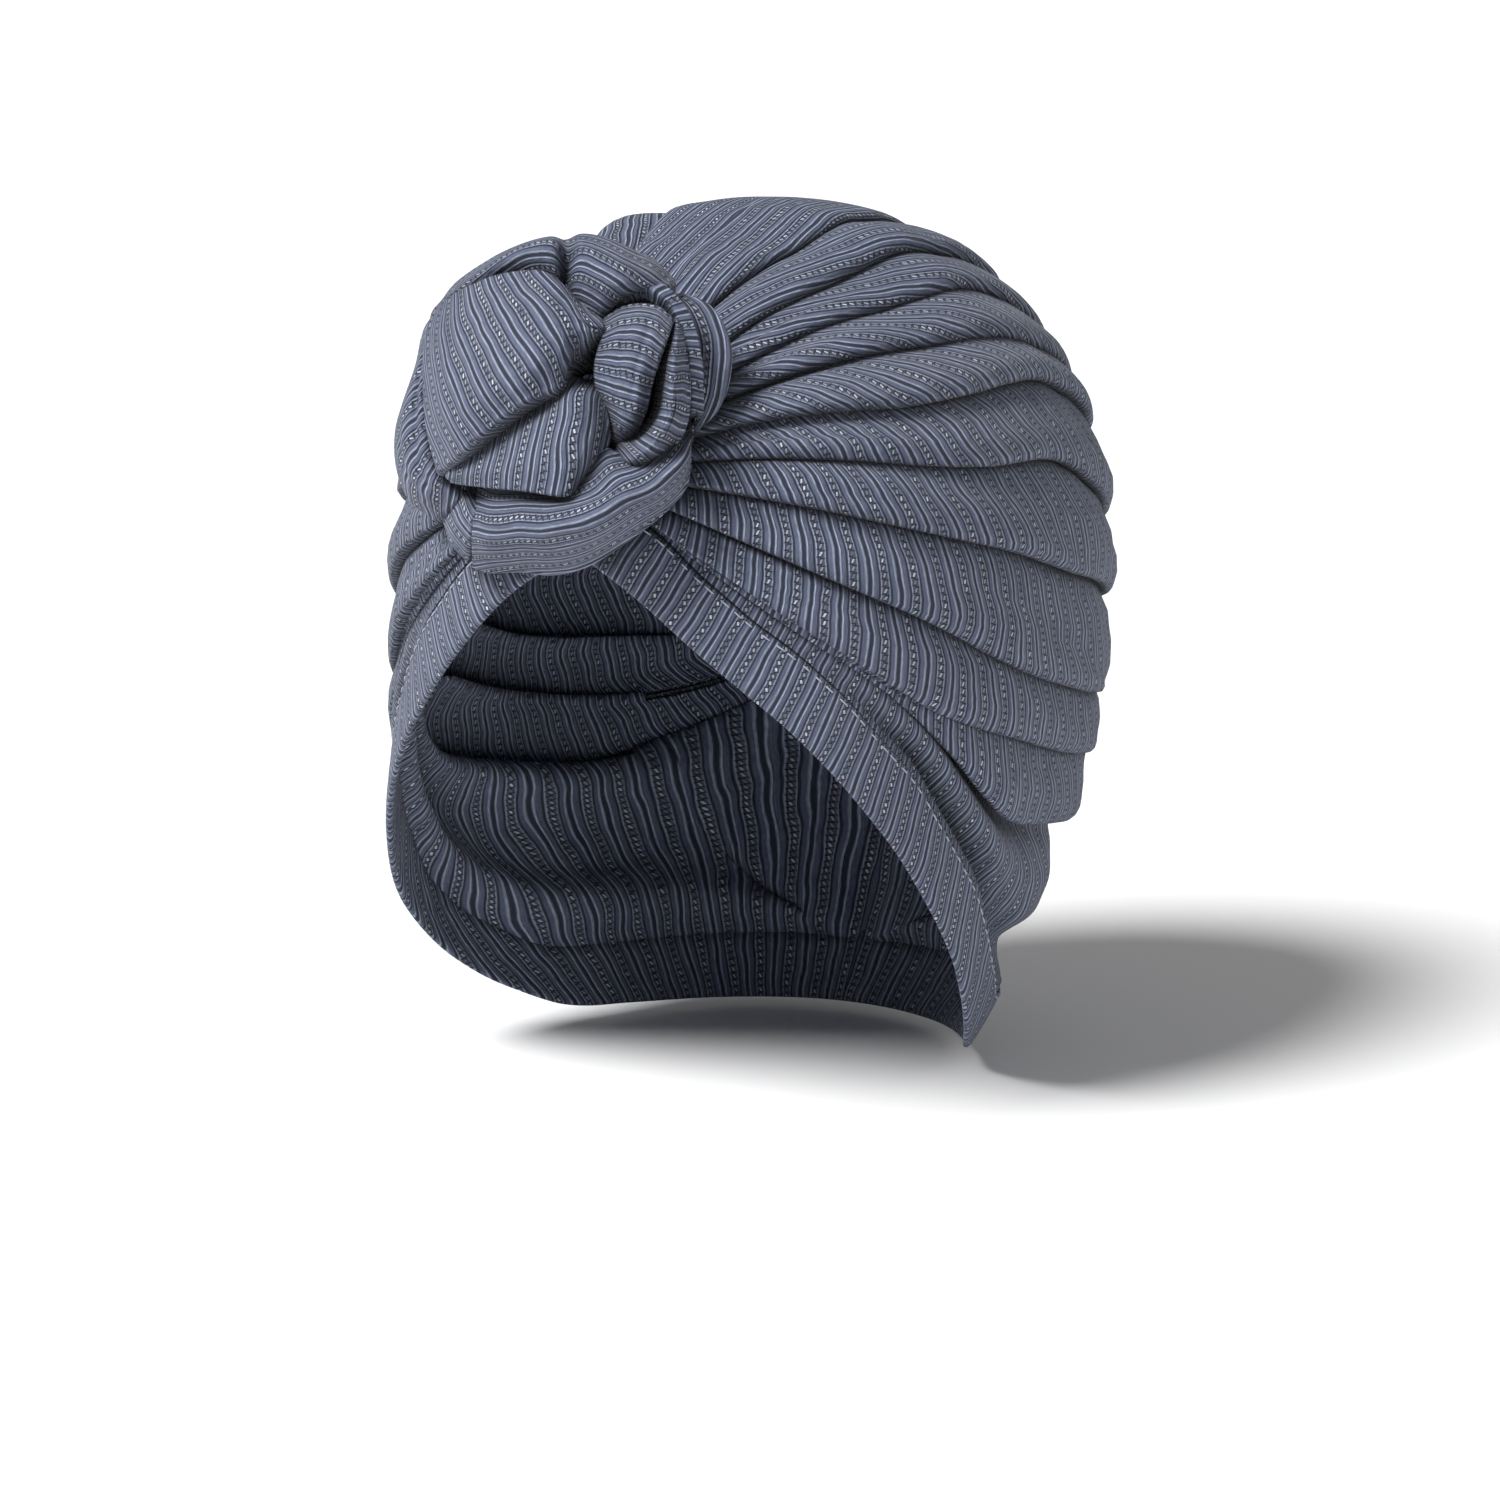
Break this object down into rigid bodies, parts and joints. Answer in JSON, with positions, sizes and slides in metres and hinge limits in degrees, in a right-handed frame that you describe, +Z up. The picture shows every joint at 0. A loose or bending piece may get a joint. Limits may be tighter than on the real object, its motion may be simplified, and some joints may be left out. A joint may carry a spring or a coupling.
{
  "type": "turban headwrap",
  "caption": "Pre-tied turban cap of pleated rib knit, open below with a stitched V-shaped rim and a rosette knot at the front.",
  "frame": {"origin": "inside the top of the crown, where the top of a head bears", "axes": "+Z up, -Y to the front where the knot is, +X to the wearer's left"},
  "size_m": [0.1828, 0.2338, 0.2269],
  "materials": {
    "rib_knit": "slate blue-grey rib knit with fine stitched lines, matt with a faint sheen"
  },
  "bodies": {
    "root": {"crown": "rib_knit", "hem_band": "rib_knit", "knot_front_fold": "rib_knit", "knot_lower_fold": "rib_knit", "knot_tongue": "rib_knit", "knot_right_wrap": "rib_knit", "knot_top_wrap": "rib_knit", "knot_bottom_wrap": "rib_knit", "knot_left_wrap": "rib_knit"}
  },
  "joints": []
}
